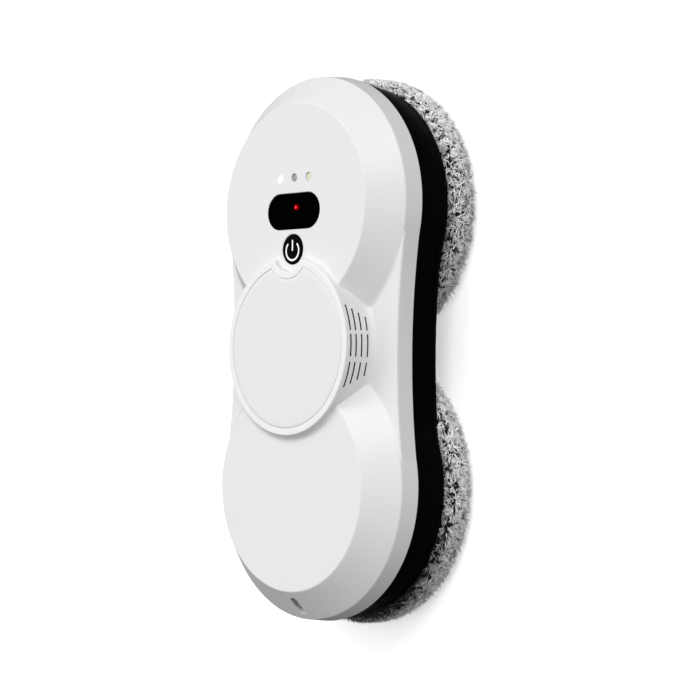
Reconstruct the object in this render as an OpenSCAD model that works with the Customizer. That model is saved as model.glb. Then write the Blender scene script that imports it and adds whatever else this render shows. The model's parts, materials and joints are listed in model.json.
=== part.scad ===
// Twin-disc window cleaning robot, in millimetres.
// z = 0 is the glass under the pads, +Z points out of the cover, +Y towards the end with the button and lights.

/* [Body] */
// Distance between the two disc centres
pitch = 150; // [149:0.5:151]
// Radius of the cover at its lower edge
shell_r = 72.5; // [72.2:0.1:72.8]
// Half the width of the cover at the waist
waist_w = 66.5; // [66:0.1:67]
// Radius of the flat round face of each dome
face_r = 56.08; // [55.5:0.1:56.6]
// Wall thickness of the cover
cover_t = 2.4; // [2:0.1:2.6]
// Wall thickness of the lower shell
shell_t = 2.2; // [2:0.1:2.5]

/* [Heights] */
// Height of the flat dome faces above the glass
face_z = 66; // [65.8:0.1:66.2]
// Height of the edge between chamfer and side band
band_z = 51.1; // [50.8:0.1:51.4]
// Height of the joint between cover and lower shell
split_z = 40.1; // [39.8:0.1:40.3]
// Height of the lower shell's bottom edge
floor_z = 21.25; // [21.2:0.05:21.3]

/* [Boss and cap] */
// Radius of the round boss over the waist at its top
boss_r = 47.72; // [47.3:0.1:47.9]
// Height of the boss's top above the glass
boss_z = 69.94; // [69.7:0.1:70.1]
// Radius of the cap that lies in the boss
cap_r = 43.6; // [43.3:0.1:43.6]
// Thickness of the cap
cap_h = 1.2; // [1.1:0.05:1.3]

/* [Pads and discs] */
// Outer radius of a pad's backing
pad_r = 73; // [72:0.5:73.5]
// Radius of the opening in the middle of a pad
pad_hole_r = 32; // [30:0.5:34]
// Radius of a mop disc
disc_r = 66.5; // [66:0.1:66.6]

/* [Drive] */
// Teeth of the gear on each disc hub
gear_teeth = 60; // [60]
// Teeth of the motor pinion
pinion_teeth = 12; // [12]
// Gear module
gear_m = 1; // [1]

/* [Controls] */
// Distance of the power button's centre from the middle of the body
button_y = 52.1; // [51.8:0.1:52.4]
// Radius of the power button
button_r = 8.0; // [7.8:0.05:8.4]
// Travel of the power button
button_travel = 0.5; // [0.3:0.1:0.5]
// Distance of the status lights from the middle of the body
light_y = 90.6; // [90:0.1:91]

/* [Hidden] */
$fn = 96;
half = pitch / 2;
// The waist is cut by large circles centred here at each side
waist_c = 486.5;
// Radius at the edge between chamfer and band
band_r = shell_r - 1.15;
// Slope of the chamfer: its run, its rise and its length
ch_run = band_r - face_r;
ch_rise = face_z - band_z;
ch_len = sqrt(ch_run * ch_run + ch_rise * ch_rise);
// Tilt of the chamfer's normal from vertical
ch_tilt = atan2(ch_rise, ch_run);
// Radius of the inner chamfer surface at height z
function ch_in(z) = face_r + (face_z - z) * ch_run / ch_rise - cover_t * ch_len / ch_rise;
// Middle of the chamfer, where the nozzle slot and the filler plug sit
ch_mid_r = 63.5;
ch_mid_z = face_z - (ch_mid_r - face_r) * ch_rise / ch_run;
ceil_z = face_z - cover_t;
pin_dist = gear_m * (gear_teeth + pinion_teeth) / 2;
white = [0.93, 0.93, 0.94];
black = [0.05, 0.05, 0.055];
// Places of the case screws, the fan housing screws and the motor mount posts
case_xy = [[54, 103], [-54, 103], [54, -103], [-54, -103], [55, 20], [-55, 20], [55, -20], [-55, -20]];
fan_xy = [[29, 29], [-29, 29], [29, -29], [-29, -29]];
board_xy = [[30, 49.5], [-30, 49.5], [30, 93], [-30, 93]];
// Route of the hose from pump to nozzle
hose_pts = [[26.5, -121.3, 50], [25.4, -124.8, 50.4], [21.5, -128.8, 51.2], [15, -131.5, 52.4], [8, -132.4, 53.2], [2.5, -131.9, 53.3]];

module ring(ro, ri, h) {
  difference() {
    cylinder(r = ro, h = h);
    translate([0, 0, -1]) cylinder(r = ri, h = h + 2);
  }
}

// Two round ends joined by a waist: radius and waist half-width at the bottom and at the top
module hourglass(rb, rt, wb, wt, z0, z1) {
  h = z1 - z0;
  k = (wt - wb) / h;
  for (s = [1, -1]) translate([0, s * half, z0]) cylinder(r1 = rb, r2 = rt, h = h);
  difference() {
    translate([-70, -64, z0]) cube([140, 128, h]);
    for (s = [1, -1]) translate([s * waist_c, 0, z0 - 1])
      cylinder(r1 = waist_c - wb + k, r2 = waist_c - wt - k, h = h + 2);
  }
}

module stadium(l, r, h) {
  linear_extrude(height = h) hull() {
    translate([-l, 0]) circle(r = r, $fn = 48);
    translate([l, 0]) circle(r = r, $fn = 48);
  }
}

// Places children on the chamfer of the lower dome, at its end or at its hidden side, with +Z along the outward normal
module on_chamfer_end() {
  translate([0, -half - ch_mid_r, ch_mid_z]) rotate([ch_tilt, 0, 0]) children();
}
module on_chamfer_side() {
  translate([-ch_mid_r, -half, ch_mid_z]) rotate([0, -ch_tilt, 0]) children();
}

// Vent slots through the boss wall: three groups of four, on both sides
module vents() {
  for (side = [0, 180], i = [0:3]) {
    z = face_z + 0.7 - 3.4 * i - 0.14 * i * i;
    // Start and end angle of the group towards the lights and of the group towards the nozzle
    upper = [9.4, 26.4 - 2.7 * i];
    lower = [10.4, 27.4 - 2.75 * i];
    a = side == 0 ? upper : lower;
    b = side == 0 ? lower : upper;
    rotate([0, 0, side]) translate([0, 0, z - 0.45]) {
      rotate([0, 0, -7.2]) rotate_extrude(angle = 14.4) translate([41, 0]) square([10, 0.9]);
      rotate([0, 0, a[0]]) rotate_extrude(angle = a[1] - a[0]) translate([41, 0]) square([10, 0.9]);
      rotate([0, 0, -b[1]]) rotate_extrude(angle = b[1] - b[0]) translate([41, 0]) square([10, 0.9]);
    }
  }
}

module top_cover() {
  color(white) difference() {
    union() {
      difference() {
        union() {
          for (s = [1, -1]) translate([0, s * half, 0]) rotate_extrude()
            polygon([[0, split_z], [shell_r, split_z], [band_r, band_z], [face_r, face_z], [0, face_z]]);
          hourglass(shell_r - 0.4, band_r - 0.4, waist_w, waist_w - 0.6, split_z, band_z);
          // Boss with a notch round the button
          difference() {
            translate([0, 0, band_z - 6]) cylinder(r1 = boss_r + 1.16, r2 = boss_r, h = boss_z - band_z + 6);
            translate([0, button_y, face_z]) cylinder(r = 12.2, h = 6);
          }
        }
        for (s = [1, -1]) translate([0, s * half, 0]) rotate_extrude()
          polygon([[0, split_z - 1], [shell_r - cover_t + 0.1, split_z - 1], [ch_in(50), 50], [ch_in(ceil_z), ceil_z], [0, ceil_z]]);
        hourglass(shell_r - cover_t - 0.6, band_r - cover_t - 0.6, waist_w - cover_t, waist_w - cover_t - 0.6, split_z - 1, band_z - cover_t);
        difference() {
          translate([0, 0, band_z - 8]) cylinder(r = 45.4, h = boss_z - 2.64 - band_z + 8);
          translate([0, button_y, ceil_z]) cylinder(r = 14.8, h = 6);
        }
      }
      // Screw posts
      for (p = case_xy) translate([p[0], p[1], 42.8]) cylinder(r = 4, h = (abs(p[1]) > 50 ? 57 : 49.6) - 42.8);
      for (p = board_xy) translate([p[0], p[1], 60.2]) cylinder(r = 3, h = ceil_z - 60.2 + 0.5);
    }
    for (p = case_xy) translate([p[0], p[1], 42]) cylinder(r = 1.55, h = 7);
    for (p = board_xy) translate([p[0], p[1], 60]) cylinder(r = 1.15, h = 4);
    // Recess for the cap, and the opening under it
    difference() {
      translate([0, 0, boss_z - cap_h]) cylinder(r = cap_r + 0.35, h = 4);
      translate([0, button_y, boss_z - cap_h - 1]) cylinder(r = 16.2, h = 6);
    }
    translate([0, 0, ceil_z - 2]) cylinder(r = 34.5, h = 8);
    // Window, lights and button
    translate([0, 72.6, ceil_z - 1]) stadium(11.2, 9.8, 5);
    for (x = [-11.4, 0.1, 11.6]) translate([x, light_y, ceil_z - 1]) cylinder(r = 2.25, h = 5);
    translate([0, button_y, ceil_z - 1]) cylinder(r = button_r + 0.25, h = 5);
    vents();
    // Slot for the nozzle, which runs out in a shallow ramp at its lower end
    on_chamfer_end() {
      translate([0, 0.9, -5]) rotate([0, 0, 90]) stadium(2.3, 2.3, 8);
      translate([0, -4.9, -0.75]) rotate([-20, 0, 0]) rotate([0, 0, 90]) stadium(2, 2.2, 4);
    }
    on_chamfer_side() {
      translate([0, 0, -8]) cylinder(r = 4.08, h = 12);
      translate([0, 0, -1.5]) cylinder(r = 7.3, h = 6);
    }
  }
}

module centre_cap() {
  z0 = boss_z - cap_h;
  color(white) difference() {
    union() {
      translate([0, 0, z0]) cylinder(r = cap_r, h = cap_h);
      // Collar that centres it in the opening
      translate([0, 0, z0 - 2.4]) ring(34.3, 32.8, 2.5);
    }
    translate([0, button_y, z0 - 1]) cylinder(r = 16.55, h = cap_h + 2);
  }
}

module lower_shell() {
  color(black) difference() {
    union() {
      difference() {
        union() {
          hourglass(69.46, 72.1, 61.6, waist_w - 0.6, floor_z, split_z);
          hourglass(69.3, 69.3, 63.5, 63.5, split_z - 3, split_z + 2.4);
        }
        hourglass(69.6 - shell_t, 70.1 - shell_t, 61.8 - shell_t, 63.9 - shell_t, floor_z + 2.5, split_z + 4);
      }
      for (s = [1, -1]) translate([0, s * half, floor_z]) cylinder(r = 24.5, h = 5.65);
      for (p = case_xy) translate([p[0], p[1], floor_z + 1]) cylinder(r = 4.5, h = 42.4 - floor_z - 1);
      for (p = fan_xy) translate([p[0], p[1], floor_z + 1]) cylinder(r = 3.5, h = 43 - floor_z - 1);
      for (x = [16, -16], y = [119, -119]) translate([x, y, floor_z + 1]) cylinder(r = 3.5, h = 34.4 - floor_z - 1);
      for (x = [11, -11], y = [24, -24]) translate([x, y, floor_z + 1]) cylinder(r = 3, h = 36 - floor_z - 1);
      // Pillar under the pump and post for the rope eyelet
      translate([27, -113, floor_z + 1]) cylinder(r = 5, h = 40 - floor_z - 1);
      translate([-54, 0, floor_z + 1]) cylinder(r = 4, h = 27 - floor_z - 1);
      translate([-54, 0, floor_z + 1]) cylinder(r = 2.5, h = 33 - floor_z - 1);
    }
    for (s = [1, -1]) translate([0, s * half, floor_z - 1]) cylinder(r = 21, h = 9);
    for (p = case_xy) translate([p[0], p[1], floor_z - 1]) cylinder(r = 1.7, h = 24);
    for (p = fan_xy) translate([p[0], p[1], 34]) cylinder(r = 1.3, h = 10);
    for (x = [16, -16], y = [119, -119]) translate([x, y, 26]) cylinder(r = 1.3, h = 10);
    // Power inlet and eyelet openings
    translate([-70, 34, 31]) rotate([0, 90, 0]) cylinder(r = 5, h = 12);
    translate([-70, -4.3, 26.9]) cube([11, 8.6, 3.7]);
  }
}

module base_plate() {
  color(black) difference() {
    union() {
      hourglass(69, 69.3, 61.5, 61.9, 18, 20.6);
      hourglass(66, 66, 58.5, 58.5, 19.5, floor_z);
    }
    for (s = [1, -1]) translate([0, s * half, 17]) cylinder(r = 19.6, h = 6);
    for (p = case_xy) translate([p[0], p[1], 17]) {
      cylinder(r = 1.7, h = 6);
      cylinder(r = 3.2, h = 2.6);
    }
    // Shallow ribs between the pads
    for (i = [-2:2]) translate([i * 12 - 0.8, -9, 17]) cube([1.6, 18, 1.6]);
  }
}

module sensor_window() {
  color([0.02, 0.02, 0.02]) translate([0, 72.6, 0]) {
    translate([0, 0, 62.2]) stadium(11.2, 10.6, 1.3);
    translate([0, 0, 63]) stadium(11.2, 9.7, 3);
  }
}

module indicator_led() {
  color([0.9, 0.05, 0.05]) {
    translate([-3.9, 73.6, 60.2]) cube([2.6, 3.2, 0.7]);
    translate([-2.6, 75.2, 60.6]) cylinder(r = 1.2, h = 1.2);
  }
}

module remote_receiver() {
  color([0.08, 0.08, 0.1]) {
    translate([-12.5, 69.5, 60.2]) cube([6, 7, 1.3]);
    translate([-9.5, 73, 61]) cylinder(r = 2, h = 1);
  }
}

module status_lens(x) {
  translate([x, light_y, 61.4]) cylinder(r = 2.2, h = face_z - 61.4);
}
module status_lens_left() { color([0.98, 0.98, 1]) status_lens(-11.4); }
module status_lens_mid() { color([0.72, 0.72, 0.74]) status_lens(0.1); }
module status_lens_right() { color([0.8, 0.86, 0.7]) status_lens(11.6); }

// Open ring and bar of the symbol, as a raised insert
module symbol_cut(z, h, g) {
  translate([0, button_y, z]) {
    difference() {
      translate([0, -0.73, 0]) ring(5.6 + g, 4.6 - g, h);
      translate([0, 0, -1]) linear_extrude(height = h + 2)
        polygon([[0, -0.73], [-9.53, 8], [9.53, 8]]);
    }
    for (s = [-1, 1]) translate([3.76 * s, 2.715, 0]) cylinder(r = 0.5 + g, h = h);
    for (y = [-0.4, 4.6]) translate([0, y, 0]) cylinder(r = 0.5 + g, h = h);
    translate([-0.5 - g, -0.4, 0]) cube([1 + 2 * g, 5, h]);
  }
}

module power_button() {
  color([0.02, 0.02, 0.02]) difference() {
    union() {
      translate([0, button_y, 62.3]) cylinder(r = button_r, h = 4);
      translate([0, button_y, 62.3]) cylinder(r = 9.6, h = 1);
    }
    symbol_cut(65.6, 2, 0.02);
  }
}

module power_symbol() {
  color([0.95, 0.95, 0.95]) symbol_cut(65.62, 0.68, 0);
}

module tact_switch() {
  color([0.2, 0.2, 0.22]) difference() {
    translate([-3, button_y - 3, 60.2]) cube([6, 6, 1.5]);
    translate([0, button_y, 60]) cylinder(r = 1.7, h = 3);
  }
}

module switch_plunger() {
  color([0.1, 0.1, 0.1]) translate([0, button_y, 60.3 + button_travel]) cylinder(r = 1.65, h = 2 - button_travel);
}

module control_board() {
  color([0.05, 0.3, 0.15]) difference() {
    translate([-33, 45.5, 58.6]) cube([66, 51.5, 1.6]);
    for (p = board_xy) translate([p[0], p[1], 58]) cylinder(r = 1.3, h = 3);
  }
}

module board_components() {
  color([0.12, 0.12, 0.13]) {
    translate([8, 66, 60.2]) cube([9, 9, 1.2]);
    translate([-24, 60, 60.2]) cube([6, 5, 1.4]);
    translate([22, 60, 60.2]) cube([7, 12, 1.8]);
    translate([-30, 78, 60.2]) cube([5, 9, 1.8]);
    for (x = [-11.4, 0.1, 11.6]) translate([x - 1.2, light_y - 1, 60.2]) cube([2.4, 2, 0.8]);
    for (i = [0:4]) translate([-16 + 5 * i, 56.5 + 28 * (i % 2), 60.2]) cube([2, 1.25, 0.8]);
  }
}

module beeper() {
  color([0.1, 0.1, 0.1]) translate([25, 84, 60.2]) difference() {
    cylinder(r = 5, h = 2.8);
    translate([0, 0, 1]) cylinder(r = 1, h = 3);
  }
}

module spray_nozzle() {
  color([0.55, 0.57, 0.57]) on_chamfer_end() difference() {
    union() {
      translate([0, 0.9, -7]) rotate([0, 0, 90]) stadium(2.3, 2.2, 5.6);
      translate([0, 0, -6.5]) rotate([0, 0, 90]) stadium(3.6, 3, 3.6);
      translate([0, -1.2, -2]) cylinder(r = 1.25, h = 1.3);
      translate([0, 1.2, -10.4]) cylinder(r = 2.2, h = 5);
    }
    translate([0, -1.2, -5]) cylinder(r = 0.4, h = 8);
  }
}

module water_tank() {
  color([0.8, 0.88, 0.92]) difference() {
    union() {
      translate([-46, -97, 43]) cube([74, 51, 18]);
      translate([-56, -88, 43]) cube([11, 26, 14.5]);
      on_chamfer_side() translate([0, 0, -14]) cylinder(r = 6, h = 10.9);
    }
    translate([-44.5, -95.5, 44.5]) cube([71, 48, 15]);
    translate([-54.5, -86.5, 44.5]) cube([11, 23, 11.5]);
    on_chamfer_side() translate([0, 0, -16]) cylinder(r = 4.08, h = 16);
    translate([24, -100, 48]) rotate([-90, 0, 0]) cylinder(r = 1.5, h = 5);
  }
}

module filler_plug() {
  color([0.85, 0.85, 0.86]) on_chamfer_side() difference() {
    union() {
      translate([0, 0, -9]) cylinder(r = 4, h = 8);
      translate([0, 0, -1.3]) cylinder(r = 7, h = 1.2);
    }
    // Groove to lift it by
    translate([-3.4, -1.2, -0.9]) cube([6.8, 2.4, 2]);
  }
}

module water_pump() {
  color([0.15, 0.15, 0.17]) difference() {
    union() {
      translate([27, -113, 40]) cylinder(r = 8, h = 15);
      translate([27, -113, 55]) cylinder(r = 5.5, h = 3);
    }
    translate([24, -107.5, 48]) rotate([-90, 0, 0]) cylinder(r = 1.5, h = 5);
  }
}

module tank_hose() {
  color([0.85, 0.87, 0.88]) difference() {
    translate([24, -104.9, 48]) rotate([-90, 0, 0]) cylinder(r = 2.4, h = 7.85);
    translate([24, -106, 48]) rotate([-90, 0, 0]) cylinder(r = 1.4, h = 10);
  }
}

// Tube along a route: a smooth curve through the points, with n sides
function cr(p, i, t) = let (
    a = p[max(i - 1, 0)], b = p[i], c = p[i + 1], d = p[min(i + 2, len(p) - 1)])
  0.5 * ((2 * b) + (c - a) * t + (2 * a - 5 * b + 4 * c - d) * t * t + (3 * b - a - 3 * c + d) * t * t * t);
function route(p, m) = [for (i = [0:len(p) - 2], j = [0:m - 1]) cr(p, i, j / m), p[len(p) - 1]];
function unit(v) = v / norm(v);
function tangent(q, i) = unit(q[min(i + 1, len(q) - 1)] - q[max(i - 1, 0)]);
module tube(p, r, n, m) {
  q = route(p, m);
  k = len(q);
  points = [for (i = [0:k - 1]) let (t = tangent(q, i), u = unit(cross(t, [0, 0, 1])), v = cross(t, u))
    for (j = [0:n - 1]) q[i] + r * (cos(360 * j / n) * u + sin(360 * j / n) * v)];
  faces = concat(
    [[for (j = [0:n - 1]) j]],
    [for (i = [0:k - 2], j = [0:n - 1]) [i * n + j, (i + 1) * n + j, (i + 1) * n + (j + 1) % n, i * n + (j + 1) % n]],
    [[for (j = [n - 1:-1:0]) (k - 1) * n + j]]);
  polyhedron(points = points, faces = faces);
}

module nozzle_hose() {
  color([0.85, 0.87, 0.88]) tube(hose_pts, 1.8, 10, 3);
}

module battery_cells() {
  color([0.15, 0.35, 0.6]) for (x = [-21.6, -7.2, 7.2, 21.6])
    translate([x, 47, 51.05]) rotate([-90, 0, 0]) cylinder(r = 7, h = 49);
}

module battery_holder() {
  color(black) difference() {
    translate([-30, 45.6, 43]) cube([60, 51.9, 8]);
    for (x = [-21.6, -7.2, 7.2, 21.6])
      translate([x, 46.8, 51.05]) rotate([-90, 0, 0]) cylinder(r = 7.05, h = 49.4);
  }
}

module air_duct() {
  color([0.16, 0.16, 0.18]) difference() {
    union() {
      translate([-17, -half, 36]) cube([34, pitch, 7]);
      for (s = [1, -1]) translate([0, s * half, 36]) cylinder(r = 17, h = 7);
    }
    translate([-15.5, -half, 37.2]) cube([31, pitch, 4.6]);
    for (s = [1, -1]) translate([0, s * half, 37.2]) cylinder(r = 15.5, h = 4.6);
    for (s = [1, -1]) translate([0, s * half, 35]) cylinder(r = 13, h = 4);
    translate([0, 0, 40]) cylinder(r = 15, h = 5);
  }
}

module fan_housing() {
  color([0.16, 0.16, 0.18]) difference() {
    union() {
      translate([0, 0, 43]) cylinder(r = 36, h = 15);
      for (p = fan_xy) translate([p[0], p[1], 43]) cylinder(r = 4.2, h = 1.6);
      for (a = [45, 135]) rotate([0, 0, a]) translate([-41, -4, 43]) cube([82, 8, 1.6]);
    }
    translate([0, 0, 44.6]) cylinder(r = 34.4, h = 11.9);
    translate([0, 0, 42]) cylinder(r = 15, h = 5);
    translate([0, 0, 55]) cylinder(r = 16.1, h = 5);
    for (p = fan_xy) translate([p[0], p[1], 42]) cylinder(r = 1.5, h = 5);
    // Outlets towards both rows of vents
    translate([-40, -15, 46]) cube([80, 30, 9]);
  }
}

module fan_motor() {
  color([0.62, 0.63, 0.65]) difference() {
    union() {
      translate([0, 0, 53.2]) cylinder(r = 16, h = 11);
      translate([0, 0, 58]) cylinder(r = 19, h = 1.5);
    }
    translate([0, 0, 52]) cylinder(r = 1.55, h = 9);
  }
}

module fan_shaft() {
  color([0.75, 0.75, 0.77]) translate([0, 0, 45.8]) cylinder(r = 1.5, h = 14.6);
}

module fan_impeller() {
  color([0.2, 0.2, 0.22]) difference() {
    union() {
      translate([0, 0, 50.9]) cylinder(r = 32, h = 1.6);
      translate([0, 0, 45.8]) cylinder(r = 6, h = 6);
      for (i = [0:8]) rotate([0, 0, 40 * i]) translate([14, -18, 45.8]) rotate([0, 0, 29])
        rotate_extrude(angle = 67) translate([17.5, 0]) square([1.2, 5.6]);
    }
    translate([0, 0, 45]) cylinder(r = 1.5, h = 9);
  }
}

module drive_motor(s) {
  color([0.62, 0.63, 0.65]) translate([0, s * (half + pin_dist), 0]) difference() {
    union() {
      translate([0, 0, 36.2]) cylinder(r = 12, h = 22);
      translate([0, 0, 34.8]) cylinder(r = 4, h = 2);
      translate([0, 0, 58]) cylinder(r = 4.5, h = 2);
    }
    translate([0, 0, 34]) cylinder(r = 1.55, h = 8);
  }
}
module drive_motor_upper() drive_motor(1);
module drive_motor_lower() drive_motor(-1);

// Involute gear outline with a 25 degree pressure angle and a little backlash
function inv(a) = tan(a) * 180 / PI - a;
function flank(n, m, r) = let (rb = n * m / 2 * cos(25))
  90 / n - 0.11 * 180 / PI / (n * m / 2) + inv(25) - inv(acos(min(1, rb / r)));
module gear_teeth_solid(n, m, h, bore) {
  rp = n * m / 2;
  ro = rp + 0.88 * m;
  rr = rp - 1.15 * m;
  rb = rp * cos(25);
  r0 = max(rb, rr) + 0.001;
  difference() {
    linear_extrude(height = h) polygon([for (i = [0:n - 1]) let (a = 360 * i / n) each [
      rr * [cos(a - flank(n, m, r0) - 0.3), sin(a - flank(n, m, r0) - 0.3)],
      for (k = [0:4]) let (r = r0 + (ro - r0) * k / 4) r * [cos(a - flank(n, m, r)), sin(a - flank(n, m, r))],
      for (k = [4:-1:0]) let (r = r0 + (ro - r0) * k / 4) r * [cos(a + flank(n, m, r)), sin(a + flank(n, m, r))],
      rr * [cos(a + flank(n, m, r0) + 0.3), sin(a + flank(n, m, r0) + 0.3)]]]);
    translate([0, 0, -1]) cylinder(r = bore, h = h + 2);
  }
}

module pinion(s) {
  color([0.8, 0.78, 0.7]) translate([0, s * (half + pin_dist), 0]) {
    translate([0, 0, 28]) rotate([0, 0, 15]) gear_teeth_solid(pinion_teeth, gear_m, 5.2, 1.2);
    translate([0, 0, 27.4]) cylinder(r = 1.5, h = 14);
  }
}
module pinion_upper() pinion(1);
module pinion_lower() pinion(-1);

module motor_mount(s) {
  color([0.7, 0.71, 0.73]) difference() {
    translate([-20.5, s * 113.5 - 10.5, 34.4]) cube([41, 21, 1.8]);
    translate([0, s * (half + pin_dist), 33]) cylinder(r = 4.1, h = 5);
    for (x = [16, -16]) translate([x, s * 119, 33]) cylinder(r = 1.5, h = 5);
  }
}
module motor_mount_upper() motor_mount(1);
module motor_mount_lower() motor_mount(-1);

module drive_gear(s) {
  color([0.9, 0.9, 0.86]) translate([0, s * half, 28]) difference() {
    union() {
      gear_teeth_solid(gear_teeth, gear_m, 5, 17.05);
      translate([0, 0, 5]) cylinder(r = 21, h = 1.2);
    }
    translate([0, 0, 4]) cylinder(r = 13.6, h = 4);
    translate([0, 0, -1]) cylinder(r = 17.05, h = 6);
    for (a = [0:120:240]) rotate([0, 0, a]) translate([15.4, 0, 4]) cylinder(r = 1, h = 4);
    for (a = [0:60:300]) rotate([0, 0, a + 30]) translate([24.5, 0, -1]) cylinder(r = 2.6, h = 8);
  }
}
module drive_gear_upper() drive_gear(1);
module drive_gear_lower() drive_gear(-1);

module gear_screws(s) {
  color([0.7, 0.7, 0.72]) translate([0, s * half, 0]) for (a = [0:120:240]) rotate([0, 0, a]) translate([15.4, 0, 0]) {
    translate([0, 0, 27]) cylinder(r = 0.95, h = 7.4);
    translate([0, 0, 34.2]) cylinder(r = 1.7, h = 1.2);
  }
}
module gear_screws_upper() gear_screws(1);
module gear_screws_lower() gear_screws(-1);

module mop_disc(s) {
  color([0.08, 0.08, 0.085]) translate([0, s * half, 0]) difference() {
    union() {
      translate([0, 0, 9.5]) cylinder(r = disc_r, h = 3.5);
      translate([0, 0, 9.5]) cylinder(r = 19, h = 11.3);
      translate([0, 0, 9.5]) cylinder(r = 17, h = 23.5);
      // Ribs and rings under the disc, inside the pad's opening
      translate([0, 0, 7.6]) ring(31.4, 29.6, 2.4);
      translate([0, 0, 7.6]) ring(17, 13.5, 2.4);
      for (a = [0:30:330]) rotate([0, 0, a]) translate([16, -0.8, 7.6]) cube([14.5, 1.6, 2.4]);
    }
    translate([0, 0, 7]) cylinder(r = 13.5, h = 30);
    for (a = [0:120:240]) rotate([0, 0, a]) translate([15.4, 0, 26]) cylinder(r = 1, h = 8);
  }
}
module mop_disc_upper() mop_disc(1);
module mop_disc_lower() mop_disc(-1);

module hub_bush(s) {
  color([0.92, 0.92, 0.9]) translate([0, s * half, 0]) {
    translate([0, 0, 21.3]) ring(20.95, 17.06, 5.8);
    translate([0, 0, 26.9]) ring(23.5, 17.06, 0.8);
  }
}
module hub_bush_upper() hub_bush(1);
module hub_bush_lower() hub_bush(-1);

module disc_seal(s) {
  color([0.35, 0.35, 0.36]) translate([0, s * half, 13.3]) ring(24.5, 19.4, 4.7);
}
module disc_seal_upper() disc_seal(1);
module disc_seal_lower() disc_seal(-1);

module air_filter(s) {
  color([0.3, 0.3, 0.31]) translate([0, s * half, 8.4]) difference() {
    cylinder(r = 13.45, h = 2);
    translate([0, 0, -1]) cylinder(r = 1.5, h = 4);
    for (a = [0:60:300]) rotate([0, 0, a]) translate([4.4, 0, -1]) cylinder(r = 1.5, h = 4);
    for (a = [0:30:330]) rotate([0, 0, a + 15]) translate([8.3, 0, -1]) cylinder(r = 1.5, h = 4);
    for (a = [0:20:340]) rotate([0, 0, a]) translate([11.7, 0, -1]) cylinder(r = 1.1, h = 4);
  }
}
module air_filter_upper() air_filter(1);
module air_filter_lower() air_filter(-1);

// Plush pad: a ring that wraps round the edge of the disc
module pad(s) {
  color([0.6, 0.6, 0.61]) translate([0, s * half, 0]) rotate_extrude()
    polygon([[pad_hole_r, 0.8], [pad_hole_r + 1, 0], [pad_r - 6, 0], [pad_r - 2, 2.2], [pad_r, 7], [pad_r, 11], [pad_r - 2, 15.4],
      [pad_r - 5, 16.6], [60, 16], [60, 13.3], [disc_r + 0.3, 13.3], [disc_r + 0.3, 9.2], [pad_hole_r, 9.2]]);
}
module pad_upper() pad(1);
module pad_lower() pad(-1);

module dc_inlet() {
  color([0.06, 0.06, 0.06]) difference() {
    union() {
      translate([-66.2, 34, 31]) rotate([0, 90, 0]) cylinder(r = 4.9, h = 7);
      translate([-60.5, 28, 25.5]) cube([12, 12, 11]);
    }
    difference() {
      translate([-67, 34, 31]) rotate([0, 90, 0]) cylinder(r = 2.8, h = 10);
      translate([-65.2, 34, 31]) rotate([0, 90, 0]) cylinder(r = 1.05, h = 10);
    }
  }
}

module rope_eyelet() {
  color([0.06, 0.06, 0.06]) difference() {
    union() {
      translate([-69.2, 0, 27]) cylinder(r = 3.8, h = 3.5);
      translate([-69.2, -3.8, 27]) cube([14, 7.6, 3.5]);
      translate([-58.4, -8, 27]) cube([8.9, 16, 3.5]);
    }
    translate([-69.2, 0, 26]) cylinder(r = 2.5, h = 6);
    translate([-54, 0, 26]) cylinder(r = 2.6, h = 6);
  }
}

module case_screws() {
  color([0.6, 0.6, 0.62]) for (p = case_xy) translate([p[0], p[1], 0]) difference() {
    union() {
      translate([0, 0, 19.6 - 1.5]) cylinder(r = 2.9, h = 1.5);
      translate([0, 0, 19]) cylinder(r = 1.5, h = 29.4);
    }
    for (a = [0, 90]) rotate([0, 0, a]) translate([-1.8, -0.3, 17.5]) cube([3.6, 0.6, 1.4]);
  }
}

module board_screws() {
  color([0.7, 0.7, 0.72]) for (p = board_xy) translate([p[0], p[1], 0]) {
    translate([0, 0, 57.6]) cylinder(r = 2, h = 1);
    translate([0, 0, 58.2]) cylinder(r = 1.1, h = 5.2);
  }
}

module mount_screws() {
  color([0.7, 0.7, 0.72]) for (x = [16, -16], y = [119, -119]) translate([x, y, 0]) {
    translate([0, 0, 36.2]) cylinder(r = 2.4, h = 1.3);
    translate([0, 0, 28]) cylinder(r = 1.25, h = 8.6);
  }
}

module housing_screws() {
  color([0.7, 0.7, 0.72]) for (p = fan_xy) translate([p[0], p[1], 0]) {
    translate([0, 0, 44.6]) cylinder(r = 2.6, h = 1.4);
    translate([0, 0, 36]) cylinder(r = 1.25, h = 9);
  }
}

top_cover();
centre_cap();
lower_shell();
base_plate();
sensor_window();
indicator_led();
remote_receiver();
status_lens_left();
status_lens_mid();
status_lens_right();
power_button();
power_symbol();
tact_switch();
switch_plunger();
control_board();
board_components();
beeper();
spray_nozzle();
water_tank();
filler_plug();
water_pump();
tank_hose();
nozzle_hose();
battery_cells();
battery_holder();
air_duct();
fan_housing();
fan_motor();
fan_impeller();
fan_shaft();
drive_motor_upper();
drive_motor_lower();
pinion_upper();
pinion_lower();
motor_mount_upper();
motor_mount_lower();
drive_gear_upper();
drive_gear_lower();
gear_screws_upper();
gear_screws_lower();
mop_disc_upper();
mop_disc_lower();
hub_bush_upper();
hub_bush_lower();
disc_seal_upper();
disc_seal_lower();
air_filter_upper();
air_filter_lower();
pad_upper();
pad_lower();
dc_inlet();
rope_eyelet();
case_screws();
board_screws();
mount_screws();
housing_screws();
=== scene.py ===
import json
import math

import bmesh
import bpy
import numpy as np
from mathutils import Matrix, Vector

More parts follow.
